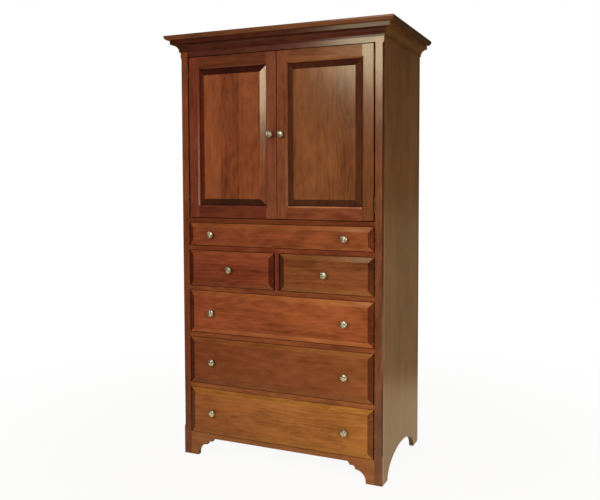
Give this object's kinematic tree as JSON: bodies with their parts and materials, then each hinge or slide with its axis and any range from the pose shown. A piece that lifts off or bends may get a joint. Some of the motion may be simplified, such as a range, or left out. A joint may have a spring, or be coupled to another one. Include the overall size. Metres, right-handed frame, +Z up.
{
  "type": "tv armoire",
  "caption": "Tall stained-wood armoire with a cove crown, inset raised-panel doors over raised-front drawers, round ribbed metal knobs and a scalloped base.",
  "frame": {"origin": "on the floor, under the middle of the crown's outline", "axes": "+Z up, front faces -Y, +X to the right of someone facing the doors"},
  "size_m": [1.075, 0.635, 1.93],
  "materials": {
    "case_wood": "satin lacquer, reddish brown",
    "door_wood": "satin lacquer, reddish brown",
    "drawer_wood": "satin lacquer, reddish brown",
    "inner_wood": "clear sealer, pale",
    "back_board": "thin stain, matt",
    "nickel": "satin nickel",
    "dark_hardware": "dark, low sheen"
  },
  "bodies": {
    "case": {"apron": "case_wood", "back_panel": "back_board", "case_screws": "dark_hardware", "case_top": "case_wood", "centre_muntin": "case_wood", "crown_cap": "case_wood", "crown_front": "case_wood", "crown_left": "case_wood", "crown_right": "case_wood", "door_catches": "dark_hardware", "door_rail": "case_wood", "drawer_rail_1": "case_wood", "drawer_rail_2": "case_wood", "drawer_rail_3": "case_wood", "drawer_rail_4": "case_wood", "front_stile_left": "case_wood", "front_stile_right": "case_wood", "hinge_frame_leaves": "dark_hardware", "hinge_pins": "dark_hardware", "side_panel_left": "case_wood", "side_panel_right": "case_wood", "top_rail": "case_wood", "tv_shelf": "case_wood", "web_frame_1": "inner_wood", "web_frame_2": "inner_wood", "web_frame_3": "inner_wood", "web_frame_4": "inner_wood", "web_frame_5": "inner_wood"},
    "left_door": {"left_door_bottom_rail": "door_wood", "left_door_hardware": "dark_hardware", "left_door_hinge_stile": "door_wood", "left_door_knob": "nickel", "left_door_meeting_stile": "door_wood", "left_door_panel": "door_wood", "left_door_top_rail": "door_wood"},
    "right_door": {"right_door_bottom_rail": "door_wood", "right_door_hardware": "dark_hardware", "right_door_hinge_stile": "door_wood", "right_door_knob": "nickel", "right_door_meeting_stile": "door_wood", "right_door_panel": "door_wood", "right_door_top_rail": "door_wood"},
    "shallow_drawer": {"shallow_drawer_box": "inner_wood", "shallow_drawer_front": "drawer_wood", "shallow_drawer_knobs": "nickel"},
    "left_half_drawer": {"left_half_drawer_box": "inner_wood", "left_half_drawer_front": "drawer_wood", "left_half_drawer_knobs": "nickel"},
    "right_half_drawer": {"right_half_drawer_box": "inner_wood", "right_half_drawer_front": "drawer_wood", "right_half_drawer_knobs": "nickel"},
    "upper_deep_drawer": {"upper_deep_drawer_box": "inner_wood", "upper_deep_drawer_front": "drawer_wood", "upper_deep_drawer_knobs": "nickel"},
    "middle_deep_drawer": {"middle_deep_drawer_box": "inner_wood", "middle_deep_drawer_front": "drawer_wood", "middle_deep_drawer_knobs": "nickel"},
    "lower_deep_drawer": {"lower_deep_drawer_box": "inner_wood", "lower_deep_drawer_front": "drawer_wood", "lower_deep_drawer_knobs": "nickel"}
  },
  "joints": [
    {"name": "left_door_hinge", "type": "hinge", "parent": "case", "child": "left_door", "pos_m": [-0.443, -0.2637, 1.471], "axis": [0, 0, -1], "range_deg": [0, 175]},
    {"name": "right_door_hinge", "type": "hinge", "parent": "case", "child": "right_door", "pos_m": [0.443, -0.2637, 1.471], "axis": [0, 0, 1], "range_deg": [0, 175]},
    {"name": "shallow_drawer_slide", "type": "slide", "parent": "case", "child": "shallow_drawer", "axis": [0, -1, 0], "range_m": [0, 0.38]},
    {"name": "left_half_drawer_slide", "type": "slide", "parent": "case", "child": "left_half_drawer", "axis": [0, -1, 0], "range_m": [0, 0.38]},
    {"name": "right_half_drawer_slide", "type": "slide", "parent": "case", "child": "right_half_drawer", "axis": [0, -1, 0], "range_m": [0, 0.38]},
    {"name": "upper_deep_drawer_slide", "type": "slide", "parent": "case", "child": "upper_deep_drawer", "axis": [0, -1, 0], "range_m": [0, 0.38]},
    {"name": "middle_deep_drawer_slide", "type": "slide", "parent": "case", "child": "middle_deep_drawer", "axis": [0, -1, 0], "range_m": [0, 0.38]},
    {"name": "lower_deep_drawer_slide", "type": "slide", "parent": "case", "child": "lower_deep_drawer", "axis": [0, -1, 0], "range_m": [0, 0.38]}
  ]
}
